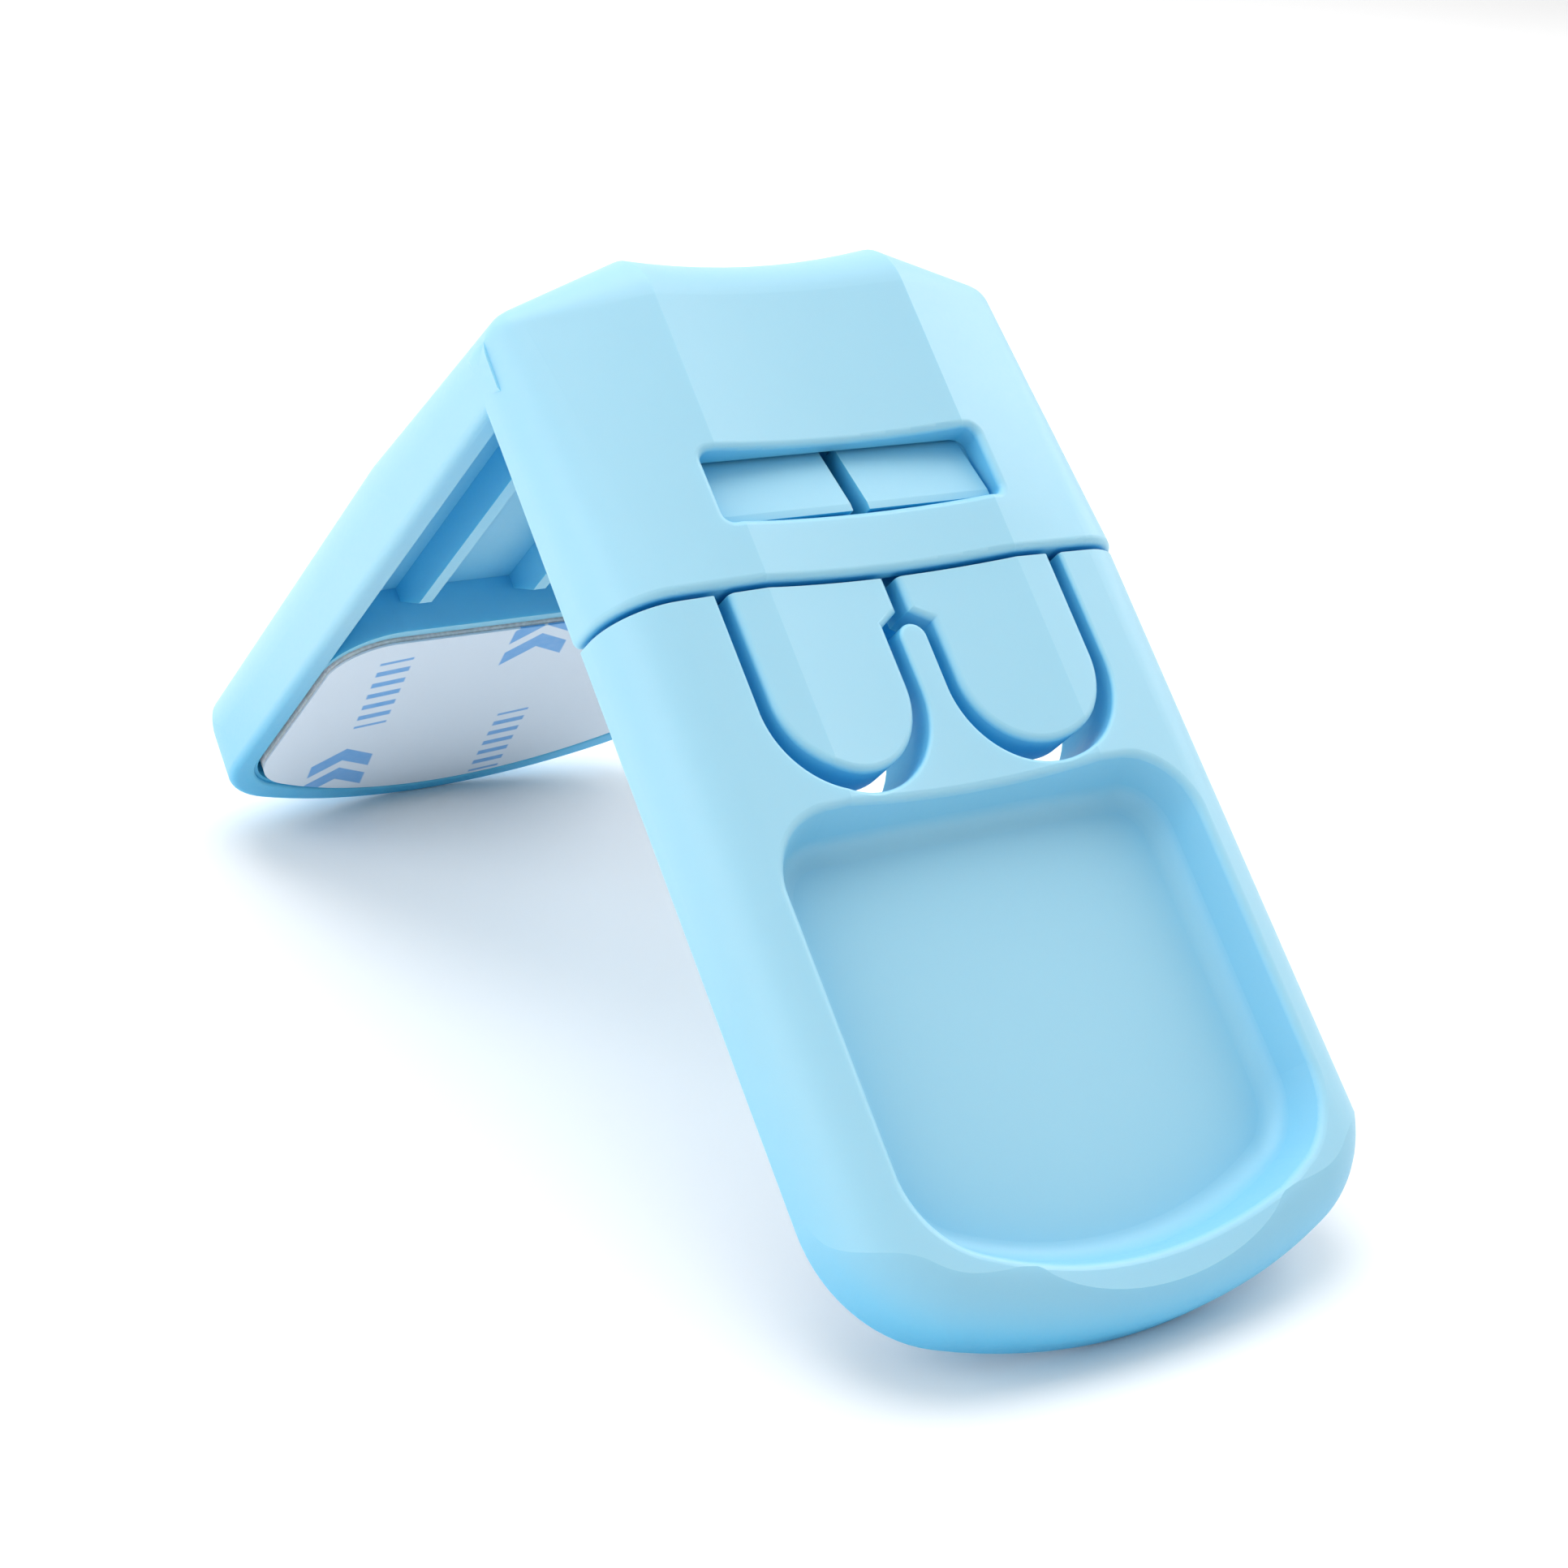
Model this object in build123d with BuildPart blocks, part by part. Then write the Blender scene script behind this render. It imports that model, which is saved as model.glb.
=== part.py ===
"""Two-button corner lock for a cupboard or drawer, standing as an inverted V on the ends of its two leaves.

The frame: +Z up, +X to the right, the front leaf faces -Y, and the origin is under the middle of the part.
The two leaves meet at a right angle along X. Lengths down a leaf start at the virtual corner of the fold,
where the crests of the two leaves would meet, and depths are measured inwards from the crest of a leaf.
All lengths are in millimetres and all angles in degrees.
"""

import math
import os

from build123d import *

os.makedirs("parts", exist_ok=True)

TOUCH = 0.1  # how near counts as being there, when edges are looked for by their place
BEYOND = 1.0  # how far a cutting or joining shape starts beyond the surface it meets

# --- the whole part ---
HALF_WIDTH = 20.0
FRONT_LENGTH = 73.0  # down the front leaf, from the fold to the end of the latch plate
BACK_LENGTH = 68.0  # down the back leaf, from the fold to its tip

# --- cross-section of both leaves ---
CREASE = 9.6  # half-width of the dished middle, between the two creases
DISH = 0.75
FOLD_FACET = 18.0  # slope of the facets outside the creases, at the fold
FOLD_SHOULDER = 3.2
END_FACET = 3.0  # and from the hood's lower edge on, where they have almost faded out
END_SHOULDER = 4.4
FOLD_RADIUS = 4.5  # of the crest round the fold
END_ROLL = 4.0  # radius of the crest's edge at the ends of the leaves
BACK_ROUND = 0.6  # radius of the outer edges at the back of both leaves

# --- corner hood ---
HOOD_THICKNESS = 7.0  # front part, crest to back
LEAF_THICKNESS = 8.2  # back leaf, crest to the face of its rim
HOOD_END = 24.8
SOCKET_HALF = 17.0
SOCKET_FRONT = 1.9
SOCKET_SIDE = 4.2  # depth at which the socket's side walls begin
SOCKET_BACK = 6.0
SOCKET_TOP = 5.4
WINDOW_HALF = 10.7
WINDOW_TOP = 15.6
WINDOW_BOTTOM = 20.6
WINDOW_CORNER = 0.7

# --- back leaf: cavity, ribs and pad seat ---
TIP_SAG = 6.3  # how far the middle of the tip stands past the corners of its outline
TIP_CORNER = 8.0
RIM = 1.8
CAVITY_TOP = 8.4
CAVITY_DEPTH = 4.4
PLATFORM_TOP = 37.5  # of the platform that the pad is sunk into
PLATFORM_DEPTH = 7.9
PLATFORM_CORNER = 5.0
SEAT_INSET = 0.2
SEAT_TOP = 38.3
SEAT_DEPTH = 6.5
SEAT_CORNER = 4.5
RIB_PLACES = (-12.4, -3.1, 3.1, 12.4)
RIB_THICKNESS = 1.0
RIB_DEPTH = 7.0
RIB_TOP_END = 35.0
RIB_END_DEPTH = 5.5  # where it runs into the platform

# --- latch plate ---
PLATE_HALF = 20.0
PLATE_DROP = 0.3  # the plate's crest below the hood's
PLATE_BACK = 6.6
PLATE_TOP = 25.2
PLATE_SAG = 5.4
PLATE_CORNER = 9.0
TONGUE_HALF = 16.6
TONGUE_FRONT = 2.3
TONGUE_SIDE = 4.6
TONGUE_BACK = 5.6
TONGUE_TOP = 6.0
TONGUE_BAR = 2.0  # the cross bar at the top, which carries the arms

# --- press buttons, their arms and the slots round them ---
BUTTON_MIDDLE = 7.15
BUTTON_HALF = 5.2
BUTTON_BOTTOM = 37.7
BUTTON_BACK = 3.7
SLOT_HALF = 6.15
SLOT_BOTTOM = 39.05
POST_TOP = 28.4
WEB_HALF = 3.2  # thin web behind the top of the post
WEB_BOTTOM = 31.0
WEB_THICKNESS = 0.5
BRIDGE_GAP = 0.5  # half of the gap between the two buttons above the post
BRIDGE_BOTTOM = 27.5
BRIDGE_SLANT = 0.9
ARM_FRONT = 3.2
ARM_BACK = 4.2
ARM_GAP = 0.65
ARM_TOP = 10.0
FLEXURE = 0.8
FLEXURE_CLEARANCE = 0.05

# --- catch hooks ---
HOOK_TOP = 15.2
HOOK_BOTTOM = 20.3
HOOK_START = 2.25  # depth of the ramp's upper end
HOOK_CREST = 1.15  # depth of the hook's edge, which the closed latch holds behind the window's lower wall
HOOK_LAND = 0.5  # flat strip along the hook's edge
HOOK_OUTER = 10.3

# --- finger pocket, with its outline at the crest ---
POCKET_HALF = 16.2
POCKET_TOP = 39.4
POCKET_BOTTOM = 69.9
POCKET_SAG = 5.0
POCKET_TOP_CORNER = 4.8
POCKET_BOTTOM_CORNER = 6.5
POCKET_DEPTH = 4.0
POCKET_DRAFT = 20.0
POCKET_FLOOR_ROUND = 1.6

# --- foam pads and liners ---
PAD_INSET = 0.3
PAD_CORNER = 4.2
FOAM = 1.65
LINER = 0.15
PLATE_PAD_HALF = 16.0
PLATE_PAD_TOP = 43.0
PLATE_PAD_BOTTOM = 68.0
PLATE_SEAT = 0.8
PLATE_FOAM = 1.1

# --- small rounds on the moulded edges ---
LIP_ROUND = 0.5  # hood's lower edge
WINDOW_ROUND = 0.45
RIM_ROUND = 0.25  # inner edge of the back leaf's rim
SLOT_ROUND = 0.25
BUTTON_ROUND = 0.45
POCKET_RIM_ROUND = 0.55
EDGE_DEPTH = 1.6  # the front edges of the pocket, slots and buttons all lie less than this below the crest

# Both leaves stand on the ground at z = 0, on the rounded back edges of their ends.
SLOPE = math.degrees(math.atan((BACK_LENGTH - PLATE_BACK) / (FRONT_LENGTH - LEAF_THICKNESS)))
SINE = math.sin(math.radians(SLOPE))
COSINE = math.cos(math.radians(SLOPE))
CORNER_HEIGHT = (FRONT_LENGTH - BACK_ROUND) * SINE + (PLATE_BACK - BACK_ROUND) * COSINE + BACK_ROUND
# The farthest points forwards and backwards are on the rolled ends of the two crests.
FRONT_REACH = (FRONT_LENGTH - END_ROLL) * COSINE - (PLATE_DROP + END_ROLL) * SINE + END_ROLL
BACK_REACH = (BACK_LENGTH - END_ROLL) * SINE - END_ROLL * COSINE + END_ROLL
APEX = Vector(0, (FRONT_REACH - BACK_REACH) / 2, CORNER_HEIGHT)

# Working planes, all with their origin at the virtual corner of the fold.
# FRONT and BACK lie on the crests: y runs down the leaf and z outwards.
# ACROSS_FRONT and ACROSS_BACK cut across the leaves: y runs outwards and z down the leaf.
# SIDE is the part's own middle: x runs down the front leaf and y outwards from it.
FRONT = Plane(origin=APEX, x_dir=(-1, 0, 0), z_dir=(0, -SINE, COSINE))
BACK = Plane(origin=APEX, x_dir=(1, 0, 0), z_dir=(0, COSINE, SINE))
ACROSS_FRONT = Plane(origin=APEX, x_dir=(1, 0, 0), z_dir=(0, -COSINE, -SINE))
ACROSS_BACK = Plane(origin=APEX, x_dir=(-1, 0, 0), z_dir=(0, SINE, -COSINE))
SIDE = Plane(origin=APEX, x_dir=(0, -COSINE, -SINE), z_dir=(-1, 0, 0))


def leaf_section(plane, half, drop, back, tilt=END_FACET, shoulder=END_SHOULDER):
    """Cross-section of a leaf: dished middle, two sloped facets, round shoulders and flat sides."""
    slope = math.radians(tilt)
    run = half - shoulder * (1 - math.sin(slope)) - CREASE
    fall = run * math.tan(slope)
    side_top = -drop - fall - shoulder * math.cos(slope)
    with BuildSketch(plane) as section:
        with BuildLine():
            ThreePointArc((-CREASE, -drop), (0, -drop - DISH), (CREASE, -drop))
            for side in (-1, 1):
                facet = Line((side * CREASE, -drop), (side * (CREASE + run), -drop - fall))
                TangentArc(facet @ 1, (side * half, side_top), tangent=facet % 1)
                Line((side * half, side_top), (side * half, -back))
            Line((-half, -back), (half, -back))
        make_face()
        fillet(section.vertices().sort_by(Axis.Y)[:2], BACK_ROUND)
    return section.sketch


def fading_slab(across, back):
    """The leaf from the fold to the level of the hood's lower edge, over which its facets fade out."""
    sections = (
        leaf_section(across.offset(FOLD_RADIUS), HALF_WIDTH, 0, back, FOLD_FACET, FOLD_SHOULDER),
        leaf_section(across.offset(HOOD_END), HALF_WIDTH, 0, back),
    )
    with BuildPart() as slab:
        loft([section.face() for section in sections], ruled=True)
    return slab.part


def tapered_slot(plane, half, front, side, back):
    """Cross-section of the socket and of the tongue in it: a flat slot with its front corners cut off."""
    with BuildSketch(plane) as section:
        with BuildLine():
            Polyline(
                (-half, -back), (-half, -side), (-CREASE, -front), (CREASE, -front),
                (half, -side), (half, -back), close=True,
            )
        make_face()
    return section.sketch


def leaf_outline(plane, half, start, length, sag, corner, start_corner=0.0):
    """Outline of a leaf seen square on: straight sides and a bowed end with round corners."""
    with BuildSketch(plane) as outline:
        with BuildLine():
            Polyline((-half, length - sag), (-half, start), (half, start), (half, length - sag))
            ThreePointArc((-half, length - sag), (0, length), (half, length - sag))
        make_face()
        corners = outline.vertices().sort_by_distance((0, length, 0))
        fillet(corners[:2], corner)
        if start_corner:
            corners = outline.vertices().sort_by_distance((0, start, 0))
            fillet(corners[:2], start_corner)
    return outline.sketch


def end_form(plane, half, start, length, sag, corner, front, back):
    """Block as wide as a leaf, from depth front to back, with the end's rolled crest and round back."""
    with BuildPart() as form:
        extrude(leaf_outline(plane.offset(-back), half, start, length, sag, corner), amount=back - front)
        down = Axis(plane.origin, plane.y_dir)
        outwards = Axis(plane.origin, plane.z_dir)
        fillet(form.faces().sort_by(outwards)[-1].edges().sort_by(down)[-3:], END_ROLL)
        fillet(form.faces().sort_by(outwards)[0].edges().sort_by(down)[-3:], BACK_ROUND)
    return form.part


def opening_edges(part, start, end, deepest):
    """Front edges round an opening of the front leaf, by their middles, without the creases across it."""

    def is_wanted(edge):
        middle = FRONT.to_local_coords(edge.center())
        on_crease = abs(abs(middle.X) - CREASE) < TOUCH
        return start < middle.Y < end and middle.Z > -deepest and not on_crease

    return part.edges().filter_by(is_wanted)


def button_outline(plane, side):
    """Outline of a press button and the arm above it. side is 1 for the left one, which is at x > 0."""
    inner = BUTTON_MIDDLE - BUTTON_HALF
    outer = BUTTON_MIDDLE + BUTTON_HALF
    straight = BUTTON_BOTTOM - BUTTON_HALF
    with BuildSketch(plane) as outline:
        with BuildLine():
            Polyline(
                (side * inner, straight), (side * inner, BRIDGE_BOTTOM + BRIDGE_SLANT),
                (side * BRIDGE_GAP, BRIDGE_BOTTOM), (side * BRIDGE_GAP, PLATE_TOP),
                (side * outer, PLATE_TOP), (side * outer, straight),
            )
            ThreePointArc(
                (side * outer, straight), (side * BUTTON_MIDDLE, BUTTON_BOTTOM), (side * inner, straight)
            )
        make_face()
    return outline.sketch


# --- corner hood ---
inner_half = HALF_WIDTH - RIM
inner_end = BACK_LENGTH - RIM
inner_corner = TIP_CORNER - RIM
seat_half = inner_half - SEAT_INSET
seat_end = inner_end - SEAT_INSET
tip = end_form(BACK, HALF_WIDTH, FOLD_RADIUS, BACK_LENGTH, TIP_SAG, TIP_CORNER, 0, LEAF_THICKNESS)
with BuildPart() as back_leaf:
    add(fading_slab(ACROSS_BACK, LEAF_THICKNESS))
    extrude(
        leaf_section(ACROSS_BACK.offset(HOOD_END), HALF_WIDTH, 0, LEAF_THICKNESS),
        amount=BACK_LENGTH - HOOD_END,
    )
    add(tip, mode=Mode.INTERSECT)

with BuildPart() as corner_hood:
    add(fading_slab(ACROSS_FRONT, HOOD_THICKNESS))
    # The crest goes round the fold: the section, as deep as the fold's radius, turned a quarter.
    with BuildSketch(ACROSS_FRONT.offset(FOLD_RADIUS)) as fold_section:
        add(leaf_section(Plane.XY, HALF_WIDTH, 0, HOOD_THICKNESS, FOLD_FACET, FOLD_SHOULDER))
        with Locations((0, -FOLD_RADIUS / 2)):
            Rectangle(2 * HALF_WIDTH, FOLD_RADIUS, mode=Mode.INTERSECT)
    fold_axis = Axis(SIDE.from_local_coords((FOLD_RADIUS, -FOLD_RADIUS, 0)), (-1, 0, 0))
    revolve(axis=fold_axis, revolution_arc=90)
    add(back_leaf.part)
    # Soft lower lip, before the socket opens it.
    lip = corner_hood.faces().filter_by(Axis(APEX, FRONT.y_dir)).sort_by(Axis(APEX, FRONT.y_dir))[-1]
    fillet(lip.edges().sort_by(Axis(APEX, FRONT.z_dir))[1:], LIP_ROUND)
    # A low rim all round, then the ribbed cavity, and the platform that the pad's seat is sunk into.
    with BuildSketch(BACK.offset(-LEAF_THICKNESS)):
        add(leaf_outline(Plane.XY, inner_half, CAVITY_TOP, inner_end, TIP_SAG, inner_corner))
    extrude(amount=LEAF_THICKNESS - PLATFORM_DEPTH, mode=Mode.SUBTRACT)
    with BuildSketch(BACK.offset(-PLATFORM_DEPTH)):
        add(leaf_outline(Plane.XY, inner_half, CAVITY_TOP, inner_end, TIP_SAG, inner_corner))
        add(
            leaf_outline(
                Plane.XY, inner_half, PLATFORM_TOP, inner_end, TIP_SAG, inner_corner, PLATFORM_CORNER
            ),
            mode=Mode.SUBTRACT,
        )
    extrude(amount=PLATFORM_DEPTH - CAVITY_DEPTH, mode=Mode.SUBTRACT)
    with BuildSketch(BACK.offset(-PLATFORM_DEPTH)):
        add(leaf_outline(Plane.XY, seat_half, SEAT_TOP, seat_end, TIP_SAG, inner_corner, SEAT_CORNER))
    extrude(amount=PLATFORM_DEPTH - SEAT_DEPTH, mode=Mode.SUBTRACT)
    rim_middle = BACK.from_local_coords((HALF_WIDTH - RIM / 2, BACK_LENGTH / 2, -LEAF_THICKNESS))
    rim_face = corner_hood.faces().filter_by(BACK).sort_by_distance(rim_middle)[0]
    fillet(rim_face.inner_wires()[0].edges(), RIM_ROUND)
    for place in RIB_PLACES:
        with BuildSketch(SIDE.offset(-place - RIB_THICKNESS / 2)):
            with BuildLine():
                Polyline(
                    (CAVITY_DEPTH, -CAVITY_TOP), (RIB_DEPTH, -CAVITY_TOP), (RIB_DEPTH, -RIB_TOP_END),
                    (RIB_END_DEPTH, -PLATFORM_TOP), (CAVITY_DEPTH, -PLATFORM_TOP), close=True,
                )
            make_face()
        extrude(amount=RIB_THICKNESS)
    extrude(
        tapered_slot(ACROSS_FRONT.offset(SOCKET_TOP), SOCKET_HALF, SOCKET_FRONT, SOCKET_SIDE, SOCKET_BACK),
        amount=HOOD_END - SOCKET_TOP,
        mode=Mode.SUBTRACT,
    )
    with BuildSketch(FRONT.offset(BEYOND)):
        with Locations((0, (WINDOW_TOP + WINDOW_BOTTOM) / 2)):
            RectangleRounded(2 * WINDOW_HALF, WINDOW_BOTTOM - WINDOW_TOP, WINDOW_CORNER)
    extrude(amount=-BEYOND - (SOCKET_FRONT + TONGUE_FRONT) / 2, mode=Mode.SUBTRACT)
    window_edges = opening_edges(corner_hood, WINDOW_TOP - TOUCH, WINDOW_BOTTOM + TOUCH, DISH + TOUCH)
    fillet(window_edges, WINDOW_ROUND)
corner_hood.part.label = "corner_hood"
export_step(corner_hood.part, "parts/corner_hood.step")

# --- latch plate ---
plate_end = end_form(
    FRONT, PLATE_HALF, PLATE_TOP, FRONT_LENGTH, PLATE_SAG, PLATE_CORNER, PLATE_DROP, PLATE_BACK
)
pocket_outline = leaf_outline(
    FRONT, POCKET_HALF, POCKET_TOP, POCKET_BOTTOM, POCKET_SAG, POCKET_BOTTOM_CORNER, POCKET_TOP_CORNER
)
with BuildPart() as latch_plate:
    # Longer than the plate until its pocket is rounded off, then cut and rolled by the end's form.
    extrude(
        leaf_section(ACROSS_FRONT.offset(PLATE_TOP), PLATE_HALF, PLATE_DROP, PLATE_BACK),
        amount=FRONT_LENGTH + END_ROLL - PLATE_TOP,
    )
    extrude(pocket_outline, amount=-POCKET_DEPTH, taper=POCKET_DRAFT, mode=Mode.SUBTRACT)
    fillet(opening_edges(latch_plate, POCKET_TOP, POCKET_BOTTOM, EDGE_DEPTH), POCKET_RIM_ROUND)
    pocket_middle = FRONT.from_local_coords((0, (POCKET_TOP + POCKET_BOTTOM) / 2, -POCKET_DEPTH))
    pocket_floor = latch_plate.faces().filter_by(FRONT).sort_by_distance(pocket_middle)[0]
    fillet(pocket_floor.edges(), POCKET_FLOOR_ROUND)
    add(plate_end, mode=Mode.INTERSECT)
    extrude(
        tapered_slot(ACROSS_FRONT.offset(TONGUE_TOP), TONGUE_HALF, TONGUE_FRONT, TONGUE_SIDE, TONGUE_BACK),
        amount=PLATE_TOP + BEYOND - TONGUE_TOP,
    )
    # Through opening for the two arms and buttons, with the post between them left standing.
    opening_top = TONGUE_TOP + TONGUE_BAR
    slot_outer = BUTTON_MIDDLE + SLOT_HALF
    slot_straight = SLOT_BOTTOM - SLOT_HALF
    post_half = BUTTON_MIDDLE - SLOT_HALF
    with BuildSketch(FRONT.offset(BEYOND)):
        with Locations((0, (opening_top + slot_straight) / 2)):
            Rectangle(2 * slot_outer, slot_straight - opening_top)
        for side in (-1, 1):
            with Locations((side * BUTTON_MIDDLE, slot_straight)):
                Circle(SLOT_HALF)
        with Locations((0, (POST_TOP + post_half + FRONT_LENGTH) / 2)):
            Rectangle(2 * post_half, FRONT_LENGTH - POST_TOP - post_half, mode=Mode.SUBTRACT)
        with Locations((0, POST_TOP + post_half)):
            Circle(post_half, mode=Mode.SUBTRACT)
    extrude(amount=-BEYOND - PLATE_BACK, mode=Mode.SUBTRACT)
    fillet(opening_edges(latch_plate, PLATE_TOP + TOUCH, SLOT_BOTTOM + TOUCH, EDGE_DEPTH), SLOT_ROUND)
    with BuildSketch(FRONT.offset(-PLATE_BACK)):
        with Locations((0, (PLATE_TOP + WEB_BOTTOM) / 2)):
            Rectangle(2 * WEB_HALF, WEB_BOTTOM - PLATE_TOP)
    extrude(amount=WEB_THICKNESS)
    # Shallow seat for the foam pad on the back.
    with BuildSketch(FRONT.offset(-PLATE_BACK)):
        with Locations((0, (PLATE_PAD_TOP + PLATE_PAD_BOTTOM) / 2)):
            RectangleRounded(2 * PLATE_PAD_HALF, PLATE_PAD_BOTTOM - PLATE_PAD_TOP, PAD_CORNER)
    extrude(amount=PLATE_SEAT, mode=Mode.SUBTRACT)
latch_plate.part.label = "latch_plate"
export_step(latch_plate.part, "parts/latch_plate.step")

# --- spring arms, whose free ends are the press buttons ---
hinge_depth = (ARM_FRONT + ARM_BACK) / 2
hinge_place = TONGUE_TOP + TONGUE_BAR + FLEXURE_CLEARANCE + FLEXURE / 2
for name, side in (("left", 1), ("right", -1)):
    with BuildPart() as button_arm:
        extrude(button_outline(FRONT.offset(-BUTTON_BACK), side), amount=BUTTON_BACK)
        extrude(
            leaf_section(ACROSS_FRONT.offset(PLATE_TOP), PLATE_HALF, PLATE_DROP, PLATE_BACK),
            amount=FRONT_LENGTH - PLATE_TOP,
            mode=Mode.INTERSECT,
        )
        fillet(opening_edges(button_arm, PLATE_TOP + TOUCH, BUTTON_BOTTOM, EDGE_DEPTH), BUTTON_ROUND)
        # The arm up inside the hood, and the thin flexure that it turns about.
        with BuildSketch(SIDE.offset(side * ARM_GAP)):
            with BuildLine():
                Polyline(
                    (hinge_place, -hinge_depth + FLEXURE / 2), (ARM_TOP, -hinge_depth + FLEXURE / 2),
                    (ARM_TOP, -ARM_FRONT), (PLATE_TOP + BEYOND, -ARM_FRONT),
                    (PLATE_TOP + BEYOND, -ARM_BACK), (ARM_TOP, -ARM_BACK),
                    (ARM_TOP, -hinge_depth - FLEXURE / 2), (hinge_place, -hinge_depth - FLEXURE / 2),
                )
                ThreePointArc(
                    (hinge_place, -hinge_depth - FLEXURE / 2), (hinge_place - FLEXURE / 2, -hinge_depth),
                    (hinge_place, -hinge_depth + FLEXURE / 2),
                )
            make_face()
        extrude(amount=side * (BUTTON_MIDDLE + BUTTON_HALF - ARM_GAP))
    button_arm.part.label = name + "_button_arm"
    export_step(button_arm.part, "parts/" + name + "_button_arm.step")

    # The ramp that stands up into the window, with a flat catch face at its lower end.
    with BuildPart() as catch_hook:
        with BuildSketch(SIDE.offset(side * ARM_GAP)):
            with BuildLine():
                Polyline(
                    (HOOK_TOP, -ARM_FRONT), (HOOK_TOP, -HOOK_START), (HOOK_BOTTOM - HOOK_LAND, -HOOK_CREST),
                    (HOOK_BOTTOM, -HOOK_CREST), (HOOK_BOTTOM, -ARM_FRONT), close=True,
                )
            make_face()
        extrude(amount=side * (HOOK_OUTER - ARM_GAP))
    catch_hook.part.label = name + "_catch_hook"
    export_step(catch_hook.part, "parts/" + name + "_catch_hook.step")

# --- foam pads and their peel-off liners ---
pad_half = seat_half - PAD_INSET
pad_start = SEAT_TOP + PAD_INSET
pad_end = seat_end - PAD_INSET
for name, depth, thickness in (("foam_pad", SEAT_DEPTH, FOAM), ("pad_liner", SEAT_DEPTH + FOAM, LINER)):
    with BuildPart() as hood_layer:
        extrude(
            leaf_outline(
                BACK.offset(-depth), pad_half, pad_start, pad_end, TIP_SAG, inner_corner, PAD_CORNER
            ),
            amount=-thickness,
        )
    hood_layer.part.label = "hood_" + name
    export_step(hood_layer.part, "parts/hood_" + name + ".step")

plate_seat_depth = PLATE_BACK - PLATE_SEAT
plate_layers = (
    ("foam_pad", plate_seat_depth, PLATE_FOAM),
    ("pad_liner", plate_seat_depth + PLATE_FOAM, LINER),
)
for name, depth, thickness in plate_layers:
    with BuildPart() as plate_layer:
        with BuildSketch(FRONT.offset(-depth)):
            with Locations((0, (PLATE_PAD_TOP + PLATE_PAD_BOTTOM) / 2)):
                RectangleRounded(
                    2 * (PLATE_PAD_HALF - PAD_INSET),
                    PLATE_PAD_BOTTOM - PLATE_PAD_TOP - 2 * PAD_INSET,
                    PAD_CORNER - PAD_INSET,
                )
        extrude(amount=-thickness)
    plate_layer.part.label = "plate_" + name
    export_step(plate_layer.part, "parts/plate_" + name + ".step")
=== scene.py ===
"""Two-button cupboard corner lock in pale blue moulded plastic, standing like a tent on a white table.

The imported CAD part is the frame. Its mouldings keep their shape and get their plastic here, the two foam
pads are made again as soft pieces, and the release liners on them get their print. Lengths are in metres
in the scene and in millimetres where a name ends in _mm.
"""

import math

import bpy
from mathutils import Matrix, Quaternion, Vector


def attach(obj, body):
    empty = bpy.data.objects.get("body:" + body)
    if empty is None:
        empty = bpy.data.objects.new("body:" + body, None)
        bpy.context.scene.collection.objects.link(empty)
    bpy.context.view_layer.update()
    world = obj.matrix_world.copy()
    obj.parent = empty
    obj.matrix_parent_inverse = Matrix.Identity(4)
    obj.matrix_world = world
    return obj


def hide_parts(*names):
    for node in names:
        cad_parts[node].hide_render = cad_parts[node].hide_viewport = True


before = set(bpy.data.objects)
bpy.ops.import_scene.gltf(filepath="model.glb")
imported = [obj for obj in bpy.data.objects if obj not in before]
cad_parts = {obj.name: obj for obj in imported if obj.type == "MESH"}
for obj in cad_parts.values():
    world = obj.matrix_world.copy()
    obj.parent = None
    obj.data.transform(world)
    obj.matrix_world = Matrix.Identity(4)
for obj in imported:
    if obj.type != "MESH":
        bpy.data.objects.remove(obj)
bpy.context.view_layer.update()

bl_info = {
    "name": "Two-button corner lock",
    "version": (1, 0, 0),
    "blender": (4, 5, 0),
    "location": "View3D > Sidebar > Corner Lock",
    "description": "Dresses a corner lock: moulded plastic, foam pads, printed liners, white studio",
    "category": "Object",
}

MM = 0.001

PLASTIC_NODES = (
    "corner_hood",
    "latch_plate",
    "left_button_arm",
    "right_button_arm",
    "left_catch_hook",
    "right_catch_hook",
)
# Each foam pad with the body it is stuck to, its liner, and the direction down its leaf.
LEAF_SLOPE = math.radians(43.457)
DOWN_BACK_LEAF = (0.0, math.sin(LEAF_SLOPE), -math.cos(LEAF_SLOPE))
DOWN_FRONT_LEAF = (0.0, -math.cos(LEAF_SLOPE), -math.sin(LEAF_SLOPE))
PADS = (
    ("hood_foam_pad", "hood", "hood_pad_liner", DOWN_BACK_LEAF),
    ("plate_foam_pad", "plate", "plate_pad_liner", DOWN_FRONT_LEAF),
)

# Plastic: how far its flow marks reach, how far the painted shade in its hollows reaches, how deep its
# grain is, and how light goes through it.
FLOW_MARK_MM = 18
PAINTED_SHADE_REACH_MM = 24
GRAIN_DEPTH_MM = 0.02
GLOSSY_ROUGHNESS = 0.4
DULL_ROUGHNESS = 0.48
SCATTER_MM = 1.2
SCATTER_RGB = (0.5, 0.9, 1.0)

# Foam: the depth of its cells, how light goes through it, and how its mesh is cleaned and rounded.
CELL_DEPTH_MM = 0.08
FOAM_SCATTER_MM = 0.5
SAME_PLACE_MM = 0.002
FLAT_ANGLE = math.radians(2)
EDGE_ANGLE = math.radians(60)
SMOOTH_ANGLE = math.radians(35)
EDGE_SEGMENTS = 4

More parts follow.
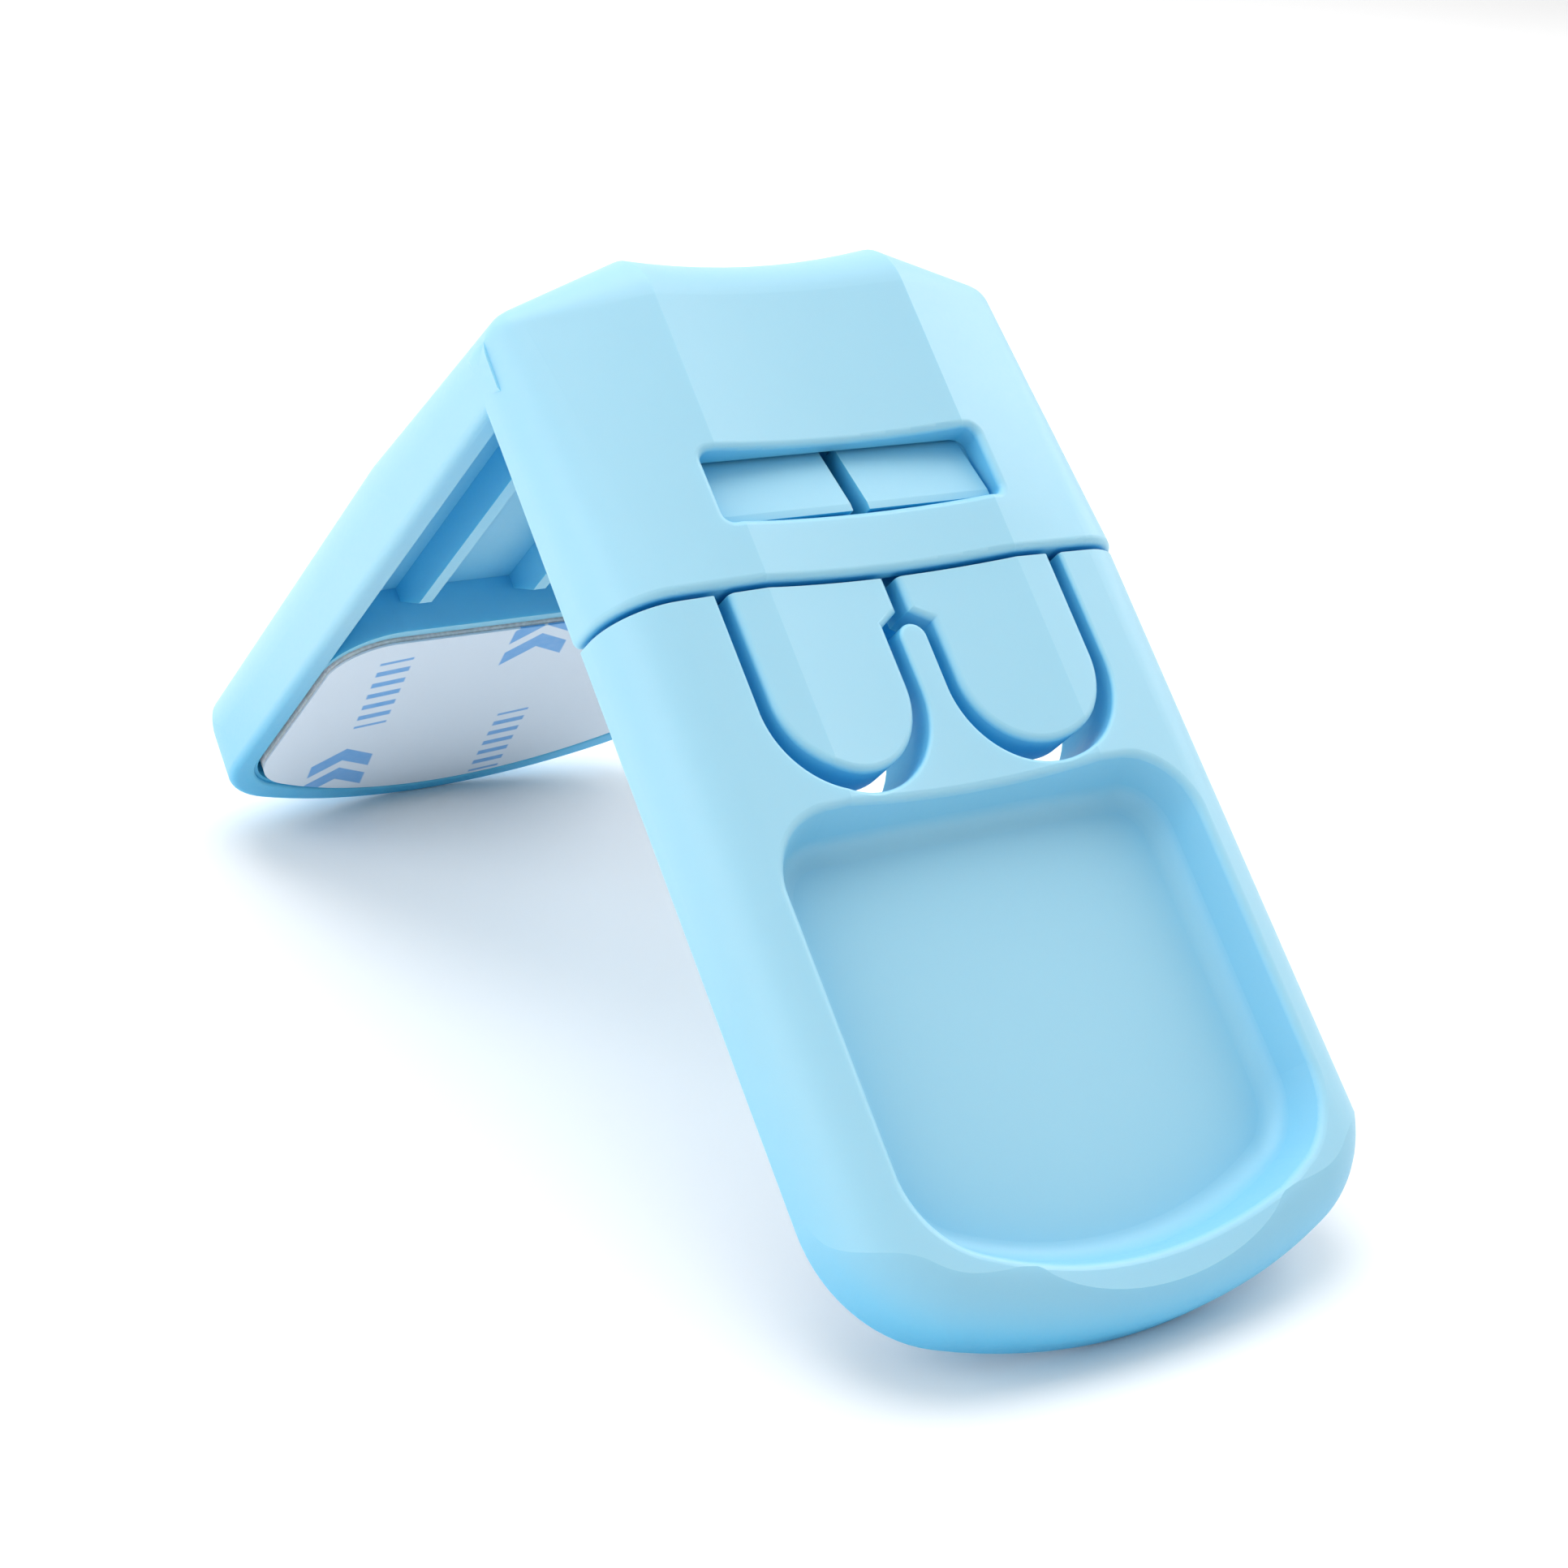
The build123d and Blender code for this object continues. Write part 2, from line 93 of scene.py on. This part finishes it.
# Print, from the top of a repeat: bars in a row, and below them two chevrons. Each half is half a width.
BAR_PITCH_MM = 1.9
BAR_HALF_MM = 0.4
BAR_ROW_MIDDLE_MM = 6.65
BAR_ROW_HALF_MM = 5.7
BAR_ASIDE_MM = 1.1
BAR_LENGTH_HALF_MM = 1.3
CHEVRON_PLACES_MM = (17.2, 20.8)
CHEVRON_HALF_MM = 1.1
CHEVRON_REACH_MM = 2.5
CHEVRON_SLOPE = 0.9
MOTTLE_MM = 0.7
RIPPLE_MM = 6
RIPPLE_DEPTH_MM = 0.15

# Studio, in metres.
TABLE_SIZE = 6.0
TABLE_GREY = 0.95
LAMP_TARGET = (0, 0, 0.03)
OVERHEAD_PLACE = (-0.05, 0.15, 0.7)
OVERHEAD_SIZE = 0.6
LEFT_PLACE = (-0.6, 0.0, 0.35)
RIGHT_PLACE = (0.6, 0.05, 0.4)
SIDE_SIZE = 0.5
FRONT_OF_ROOM = -1.0
FULL_LIGHT_FROM = 0.6
SENSOR_WIDTH_MM = 36.0
NEAREST_SEEN = 0.01
FURTHEST_SEEN = 50.0


def linear(hex_colour):
    """sRGB hex, such as "A9DDF2", as a linear RGBA tuple."""
    channels = [int(hex_colour[i : i + 2], 16) / 255 for i in (0, 2, 4)]
    return (*(c / 12.92 if c <= 0.04045 else ((c + 0.055) / 1.055) ** 2.4 for c in channels), 1.0)


def add_node(tree, kind, settings=(), links=()):
    """Adds a node. settings go to its input sockets by name or number, or else to its properties."""
    node = tree.nodes.new(kind)
    for key, value in dict(settings).items():
        if isinstance(key, int) or key in node.inputs:
            node.inputs[key].default_value = value
        else:
            setattr(node, key, value)
    for key, source in dict(links).items():
        tree.links.new(source, node.inputs[key])
    return node


def new_material(name):
    """An empty node material and its tree."""
    material = bpy.data.materials.new(name)
    material.use_nodes = True
    material.node_tree.nodes.clear()
    return material, material.node_tree


def moulded_plastic(colour, flow_colour, painted_shade_colour, grain_mm):
    """Injection-moulded PP or ABS from a spark-eroded tool.

    Satin, with a very fine grain, and a little translucent at its edges.
    """
    material, tree = new_material("moulded_blue_plastic")
    place = add_node(tree, "ShaderNodeTexCoord").outputs["Object"]
    flow = add_node(
        tree,
        "ShaderNodeTexNoise",
        {"Scale": 1 / (FLOW_MARK_MM * MM), "Detail": 2.0},
        {"Vector": place},
    )
    tint = add_node(
        tree,
        "ShaderNodeMix",
        {"data_type": "RGBA", 6: linear(colour), 7: linear(flow_colour)},
        {"Factor": flow.outputs["Fac"]},
    )
    # Painted shade: hollows, found by ambient occlusion, are painted a darker, deeper blue that stands in
    # for the shade falling there.
    painted_shade_mask = add_node(
        tree,
        "ShaderNodeAmbientOcclusion",
        {"samples": 8, "Distance": PAINTED_SHADE_REACH_MM * MM},
    )
    depth = add_node(
        tree,
        "ShaderNodeMix",
        {"data_type": "RGBA", 6: linear(painted_shade_colour)},
        {"Factor": painted_shade_mask.outputs["AO"], 7: tint.outputs[2]},
    )
    grain = add_node(
        tree,
        "ShaderNodeTexNoise",
        {"Scale": 1 / (grain_mm * MM), "Detail": 3.0},
        {"Vector": place},
    )
    bump = add_node(
        tree,
        "ShaderNodeBump",
        {"Strength": 0.12, "Distance": GRAIN_DEPTH_MM * MM},
        {"Height": grain.outputs["Fac"]},
    )
    gloss = add_node(
        tree,
        "ShaderNodeMapRange",
        {"From Min": 0.3, "From Max": 0.7, "To Min": GLOSSY_ROUGHNESS, "To Max": DULL_ROUGHNESS},
        {"Value": grain.outputs["Fac"]},
    )
    shader = add_node(
        tree,
        "ShaderNodeBsdfPrincipled",
        {"IOR": 1.5, "Subsurface Weight": 0.35, "Subsurface Scale": SCATTER_MM * MM},
        {
            "Base Color": depth.outputs[2],
            "Roughness": gloss.outputs["Result"],
            "Normal": bump.outputs["Normal"],
        },
    )
    shader.inputs["Subsurface Radius"].default_value = SCATTER_RGB
    add_node(tree, "ShaderNodeOutputMaterial", links={"Surface": shader.outputs["BSDF"]})
    return material


def math_node(tree, operation, first, second=0.0):
    """Output of a Math node whose two operands are sockets or numbers."""
    node = add_node(tree, "ShaderNodeMath", {"operation": operation})
    for socket, operand in zip(node.inputs, (first, second)):
        if isinstance(operand, bpy.types.NodeSocket):
            tree.links.new(operand, socket)
        else:
            socket.default_value = operand
    return node.outputs["Value"]


def within(tree, value, middle, half, soft):
    """1 where value is nearer than half to middle and 0 elsewhere, with an edge as soft as given."""
    away = math_node(tree, "ABSOLUTE", math_node(tree, "SUBTRACT", value, middle))
    fade = add_node(
        tree,
        "ShaderNodeMapRange",
        {"From Min": half - soft, "From Max": half + soft, "To Min": 1.0, "To Max": 0.0},
        {"Value": away},
    )
    return fade.outputs["Result"]


def foam_tape(colour, cell_mm):
    """Closed-cell foam tape: matt and off-white, with fine cells that show on its cut sides."""
    material, tree = new_material("closed_cell_foam")
    place = add_node(tree, "ShaderNodeTexCoord").outputs["Object"]
    cells = add_node(tree, "ShaderNodeTexVoronoi", {"Scale": 1 / (cell_mm * MM)}, {"Vector": place})
    shade = add_node(
        tree,
        "ShaderNodeMapRange",
        {"From Max": 0.8, "To Min": 1.0, "To Max": 0.8},
        {"Value": cells.outputs["Distance"]},
    )
    tint = add_node(
        tree,
        "ShaderNodeMix",
        {"data_type": "RGBA", "blend_type": "MULTIPLY", "Factor": 1.0, 6: linear(colour)},
        {7: shade.outputs["Result"]},
    )
    bump = add_node(
        tree,
        "ShaderNodeBump",
        {"Strength": 0.6, "Distance": CELL_DEPTH_MM * MM},
        {"Height": cells.outputs["Distance"]},
    )
    shader = add_node(
        tree,
        "ShaderNodeBsdfPrincipled",
        {
            "IOR": 1.45,
            "Roughness": 0.85,
            "Subsurface Weight": 0.2,
            "Subsurface Scale": FOAM_SCATTER_MM * MM,
        },
        {"Base Color": tint.outputs[2], "Normal": bump.outputs["Normal"]},
    )
    add_node(tree, "ShaderNodeOutputMaterial", links={"Surface": shader.outputs["BSDF"]})
    return material


def print_places(tree, place, down, look):
    """Where a point of the liner lies in its print, in mm: down its repeat, and aside of its column."""
    turn = look.print_turn
    towards_side = Vector((1, 0, 0)) * math.cos(turn) - Vector(down) * math.sin(turn)
    towards_end = Vector((1, 0, 0)) * math.sin(turn) + Vector(down) * math.cos(turn)
    across, along = (
        add_node(
            tree,
            "ShaderNodeVectorMath",
            {"operation": "DOT_PRODUCT", 1: direction / MM},
            {0: place},
        ).outputs["Value"]
        for direction in (towards_side, towards_end)
    )
    # Columns run down the leaf, a little aslant, and each starts lower than the one before it.
    shifted = math_node(tree, "ADD", across, look.print_shift_mm)
    column = math_node(tree, "FLOOR", math_node(tree, "DIVIDE", shifted, look.column_mm))
    aside = math_node(tree, "FLOORED_MODULO", shifted, look.column_mm)
    aside = math_node(tree, "SUBTRACT", aside, look.column_mm / 2)
    step = math_node(tree, "MULTIPLY", column, look.stagger_mm)
    step = math_node(tree, "ADD", step, look.drop_mm)
    run = math_node(tree, "FLOORED_MODULO", math_node(tree, "SUBTRACT", along, step), look.repeat_mm)
    return run, aside


def chevrons(tree, run, aside, soft):
    """Two bold chevrons that point up the leaf."""
    slant = math_node(tree, "MULTIPLY", math_node(tree, "ABSOLUTE", aside), CHEVRON_SLOPE)
    point = math_node(tree, "SUBTRACT", run, slant)
    first, second = (within(tree, point, middle, CHEVRON_HALF_MM, soft) for middle in CHEVRON_PLACES_MM)
    both = math_node(tree, "MAXIMUM", first, second)
    return math_node(tree, "MULTIPLY", both, within(tree, aside, 0.0, CHEVRON_REACH_MM, soft))


def bars(tree, run, aside, soft):
    """A row of short bars above the chevrons."""
    beat = math_node(tree, "FLOORED_MODULO", run, BAR_PITCH_MM)
    stroke = within(tree, beat, BAR_PITCH_MM / 2, BAR_HALF_MM, soft)
    row = math_node(
        tree,
        "MULTIPLY",
        within(tree, run, BAR_ROW_MIDDLE_MM, BAR_ROW_HALF_MM, soft),
        within(tree, aside, BAR_ASIDE_MM, BAR_LENGTH_HALF_MM, soft),
    )
    return math_node(tree, "MULTIPLY", stroke, row)


def printed_liner(name, down, look):
    """Coated release paper: cool grey-white with a low sheen, printed in blue with chevrons and bars."""
    material, tree = new_material(name)
    place = add_node(tree, "ShaderNodeTexCoord").outputs["Object"]
    run, aside = print_places(tree, place, down, look)
    soft = look.print_soft_mm
    ink = math_node(tree, "MAXIMUM", chevrons(tree, run, aside, soft), bars(tree, run, aside, soft))
    # Ink lies unevenly on the coated paper.
    mottle = add_node(
        tree,
        "ShaderNodeTexNoise",
        {"Scale": 1 / (MOTTLE_MM * MM), "Detail": 2.0},
        {"Vector": place},
    )
    cover = add_node(
        tree,
        "ShaderNodeMapRange",
        {"To Min": 0.8, "To Max": 1.0},
        {"Value": mottle.outputs["Fac"]},
    )
    tint = add_node(
        tree,
        "ShaderNodeMix",
        {"data_type": "RGBA", 6: linear(look.paper_hex), 7: linear(look.ink_hex)},
        {"Factor": math_node(tree, "MULTIPLY", ink, cover.outputs["Result"])},
    )
    ripple = add_node(
        tree,
        "ShaderNodeTexNoise",
        {"Scale": 1 / (RIPPLE_MM * MM), "Detail": 1.0},
        {"Vector": place},
    )
    bump = add_node(
        tree,
        "ShaderNodeBump",
        {"Strength": 0.25, "Distance": RIPPLE_DEPTH_MM * MM},
        {"Height": ripple.outputs["Fac"]},
    )
    shader = add_node(
        tree,
        "ShaderNodeBsdfPrincipled",
        {"IOR": 1.47, "Roughness": 0.42},
        {"Base Color": tint.outputs[2], "Normal": bump.outputs["Normal"]},
    )
    add_node(tree, "ShaderNodeOutputMaterial", links={"Surface": shader.outputs["BSDF"]})
    return material


class CornerLockLook(bpy.types.PropertyGroup):
    """Colours and sizes of the lock's looks."""

    plastic_hex: bpy.props.StringProperty(
        name="Plastic",
        description="sRGB hex of the plastic",
        default="9FD2E6",
    )
    flow_hex: bpy.props.StringProperty(
        name="Flow",
        description="sRGB hex of its faint flow marks",
        default="9ACEE3",
    )
    # Painted shade: the darker, deeper blue painted into hollows.
    painted_shade_hex: bpy.props.StringProperty(
        name="Hollows",
        description="sRGB hex of it in hollows",
        default="22B4E6",
    )
    grain_mm: bpy.props.FloatProperty(
        name="Grain",
        description="Size of the plastic's grain, mm",
        default=0.35,
    )
    foam_hex: bpy.props.StringProperty(
        name="Foam",
        description="sRGB hex of the foam",
        default="E6E9EA",
    )
    cell_mm: bpy.props.FloatProperty(
        name="Cells",
        description="Size of the foam's cells, mm",
        default=0.3,
    )
    edge_mm: bpy.props.FloatProperty(
        name="Edge",
        description="Radius of the foam's edges, mm",
        default=0.3,
    )
    paper_hex: bpy.props.StringProperty(
        name="Paper",
        description="sRGB hex of the liner",
        default="DFE8F2",
    )
    ink_hex: bpy.props.StringProperty(
        name="Ink",
        description="sRGB hex of the liner's print",
        default="60A6E2",
    )
    column_mm: bpy.props.FloatProperty(
        name="Columns",
        description="Spacing of the print's columns, mm",
        default=12.6,
    )
    repeat_mm: bpy.props.FloatProperty(
        name="Repeat",
        description="Length of the print's repeat, mm",
        default=33.0,
    )
    stagger_mm: bpy.props.FloatProperty(
        name="Stagger",
        description="Drop from column to column, mm",
        default=14.75,
    )
    drop_mm: bpy.props.FloatProperty(
        name="Drop",
        description="Start of the print's middle column, mm",
        default=15.25,
    )
    print_shift_mm: bpy.props.FloatProperty(
        name="Shift",
        description="Sideways place of the print, mm",
        default=7.8,
    )
    print_turn: bpy.props.FloatProperty(
        name="Turn",
        description="How far the print is aslant",
        default=math.radians(10),
        unit="ROTATION",
    )
    print_soft_mm: bpy.props.FloatProperty(
        name="Softness",
        description="Half-width of the ink's edge, mm",
        default=0.06,
    )


class CornerLockStudio(bpy.types.PropertyGroup):
    """Camera and light."""

    camera_place: bpy.props.FloatVectorProperty(
        name="Camera place",
        description="Where the camera is",
        default=(-0.10452, -0.14565, 0.08923),
        unit="LENGTH",
    )
    azimuth: bpy.props.FloatProperty(
        name="Azimuth",
        description="Turn of the view about Z",
        default=math.radians(-36.7535),
        unit="ROTATION",
    )
    elevation: bpy.props.FloatProperty(
        name="Elevation",
        description="Height of the view",
        default=math.radians(21.7929),
        unit="ROTATION",
    )
    roll: bpy.props.FloatProperty(
        name="Roll",
        description="Turn of the camera about its view",
        default=math.radians(5.6759),
        unit="ROTATION",
    )
    lens: bpy.props.FloatProperty(
        name="Lens",
        description="Focal length, mm",
        default=64.88,
        unit="CAMERA",
    )
    world_strength: bpy.props.FloatProperty(
        name="Room",
        description="Strength of the white room",
        default=1.03,
    )
    front_share: bpy.props.FloatProperty(
        name="Front",
        description="Share of it left at the front",
        default=0.45,
    )
    overhead_power: bpy.props.FloatProperty(
        name="Overhead",
        description="Power of the lamp above, W",
        default=2.2,
    )
    left_power: bpy.props.FloatProperty(
        name="Left",
        description="Power of the lamp on the left, W",
        default=1.2,
    )
    right_power: bpy.props.FloatProperty(
        name="Right",
        description="Power of the lamp on the right, W",
        default=1.6,
    )


class LOCK_OT_mouldings(bpy.types.Operator):
    """Gives the moulded pieces their plastic"""

    bl_idname = "corner_lock.mouldings"
    bl_label = "Mouldings"

    def execute(self, context):
        look = context.scene.corner_lock_look
        plastic = moulded_plastic(look.plastic_hex, look.flow_hex, look.painted_shade_hex, look.grain_mm)
        for name in PLASTIC_NODES:
            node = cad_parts[name]
            node.data.materials.clear()
            node.data.materials.append(plastic)
        return {"FINISHED"}


def soft_copy(context, node, name, edge):
    """A copy of a plain pad, merged into one clean mesh and rounded at its edges."""
    bpy.ops.object.select_all(action="DESELECT")
    node.select_set(True)
    context.view_layer.objects.active = node
    bpy.ops.object.duplicate()
    pad = context.object
    pad.name = name
    for key in list(pad.keys()):
        del pad[key]
    bpy.ops.object.mode_set(mode="EDIT")
    bpy.ops.mesh.select_all(action="SELECT")
    bpy.ops.mesh.remove_doubles(threshold=SAME_PLACE_MM * MM)
    bpy.ops.mesh.dissolve_limited(angle_limit=FLAT_ANGLE)
    bpy.ops.mesh.normals_make_consistent(inside=False)
    bpy.ops.object.mode_set(mode="OBJECT")
    soft = pad.modifiers.new("soft_edges", "BEVEL")
    soft.width = edge
    soft.segments = EDGE_SEGMENTS
    soft.limit_method = "ANGLE"
    soft.angle_limit = EDGE_ANGLE
    bpy.ops.object.modifier_apply(modifier=soft.name)
    bpy.ops.object.shade_smooth_by_angle(angle=SMOOTH_ANGLE)
    return pad


class LOCK_OT_foam_pads(bpy.types.Operator):
    """Makes the two foam pads, soft at their edges, in place of the plain ones"""

    bl_idname = "corner_lock.foam_pads"
    bl_label = "Foam pads"

    def execute(self, context):
        look = context.scene.corner_lock_look
        foam = foam_tape(look.foam_hex, look.cell_mm)
        for node_name, body, _, _ in PADS:
            pad = soft_copy(context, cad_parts[node_name], "soft_" + node_name, look.edge_mm * MM)
            pad.data.materials.clear()
            pad.data.materials.append(foam)
            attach(pad, body)
            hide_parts(node_name)
        return {"FINISHED"}


class LOCK_OT_liners(bpy.types.Operator):
    """Prints the release liners"""

    bl_idname = "corner_lock.liners"
    bl_label = "Liners"

    def execute(self, context):
        look = context.scene.corner_lock_look
        for _, body, liner, down in PADS:
            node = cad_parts[liner]
            node.data.materials.clear()
            node.data.materials.append(printed_liner(body + "_release_paper", down, look))
        return {"FINISHED"}


def white_table(context):
    """The white table that the lock stands on, which isn't part of it."""
    material, tree = new_material("white_table")
    shader = add_node(
        tree,
        "ShaderNodeBsdfPrincipled",
        {"Base Color": (TABLE_GREY, TABLE_GREY, TABLE_GREY, 1), "Roughness": 0.7, "IOR": 1.4},
    )
    add_node(tree, "ShaderNodeOutputMaterial", links={"Surface": shader.outputs["BSDF"]})
    bpy.ops.object.select_all(action="DESELECT")
    bpy.ops.mesh.primitive_plane_add(size=TABLE_SIZE)
    floor = context.object
    floor.name = "table_top"
    floor.data.materials.append(material)


def white_room(context, studio):
    """A white room whose light fades towards the front, where the camera stands."""
    world = bpy.data.worlds.new("studio")
    context.scene.world = world
    world.use_nodes = True
    room = world.node_tree
    direction = add_node(room, "ShaderNodeTexCoord").outputs["Generated"]
    depth = add_node(room, "ShaderNodeSeparateXYZ", links={"Vector": direction}).outputs["Y"]
    fade = add_node(
        room,
        "ShaderNodeMapRange",
        {
            "From Min": FRONT_OF_ROOM,
            "From Max": FULL_LIGHT_FROM,
            "To Min": studio.front_share,
            "To Max": 1.0,
        },
        {"Value": depth},
    )
    background = room.nodes["Background"]
    background.inputs["Strength"].default_value = studio.world_strength
    room.links.new(fade.outputs["Result"], background.inputs["Color"])


def soft_lamp(context, name, place, size, power):
    """A round lamp that faces the lock."""
    data = bpy.data.lights.new(name, "AREA")
    data.shape = "DISK"
    data.size = size
    data.energy = power
    lamp = bpy.data.objects.new(name, data)
    context.scene.collection.objects.link(lamp)
    lamp.location = place
    lamp.rotation_mode = "QUATERNION"
    lamp.rotation_quaternion = (Vector(LAMP_TARGET) - Vector(place)).to_track_quat("-Z", "Y")


def front_camera(context, studio):
    """The camera, in front of the plate and a little to its left."""
    data = bpy.data.cameras.new("camera")
    data.sensor_width = SENSOR_WIDTH_MM
    data.lens = studio.lens
    data.clip_start = NEAREST_SEEN
    data.clip_end = FURTHEST_SEEN
    camera = bpy.data.objects.new("camera", data)
    context.scene.collection.objects.link(camera)
    turn = studio.azimuth
    rise = studio.elevation
    back = Vector((math.sin(turn) * math.cos(rise), -math.cos(turn) * math.cos(rise), math.sin(rise)))
    roll = Quaternion((0, 0, 1), studio.roll)
    camera.location = studio.camera_place
    camera.rotation_mode = "QUATERNION"
    camera.rotation_quaternion = (-back).to_track_quat("-Z", "Y") @ roll
    context.scene.camera = camera


class LOCK_OT_stage(bpy.types.Operator):
    """Makes the white table, the soft light and the camera"""

    bl_idname = "corner_lock.stage"
    bl_label = "Stage"

    def execute(self, context):
        studio = context.scene.corner_lock_studio
        white_table(context)
        white_room(context, studio)
        soft_lamp(context, "overhead", OVERHEAD_PLACE, OVERHEAD_SIZE, studio.overhead_power)
        soft_lamp(context, "left_window", LEFT_PLACE, SIDE_SIZE, studio.left_power)
        soft_lamp(context, "right_window", RIGHT_PLACE, SIDE_SIZE, studio.right_power)
        front_camera(context, studio)
        context.scene.view_settings.view_transform = "Standard"
        return {"FINISHED"}


class LOCK_PT_sidebar(bpy.types.Panel):
    """Sizes, colours and the steps in order"""

    bl_idname = "LOCK_PT_sidebar"
    bl_label = "Corner Lock"
    bl_space_type = "VIEW_3D"
    bl_region_type = "UI"
    bl_category = "Corner Lock"

    def draw(self, context):
        for group in (context.scene.corner_lock_look, context.scene.corner_lock_studio):
            box = self.layout.box()
            for name in group.__annotations__:
                box.prop(group, name)
        for operator in OPERATORS:
            self.layout.operator(operator.bl_idname)


OPERATORS = (LOCK_OT_mouldings, LOCK_OT_foam_pads, LOCK_OT_liners, LOCK_OT_stage)
CLASSES = (CornerLockLook, CornerLockStudio, *OPERATORS, LOCK_PT_sidebar)


def register():
    """Registers the classes and hangs the two groups of settings on the scene."""
    for cls in CLASSES:
        bpy.utils.register_class(cls)
    bpy.types.Scene.corner_lock_look = bpy.props.PointerProperty(type=CornerLockLook)
    bpy.types.Scene.corner_lock_studio = bpy.props.PointerProperty(type=CornerLockStudio)


def unregister():
    """Takes back what register did."""
    del bpy.types.Scene.corner_lock_studio
    del bpy.types.Scene.corner_lock_look
    for cls in reversed(CLASSES):
        bpy.utils.unregister_class(cls)


def main():
    """Makes the lock's looks and the stage in order."""
    register()
    bpy.ops.corner_lock.mouldings()
    bpy.ops.corner_lock.foam_pads()
    bpy.ops.corner_lock.liners()
    bpy.ops.corner_lock.stage()


if __name__ == "__main__":
    main()
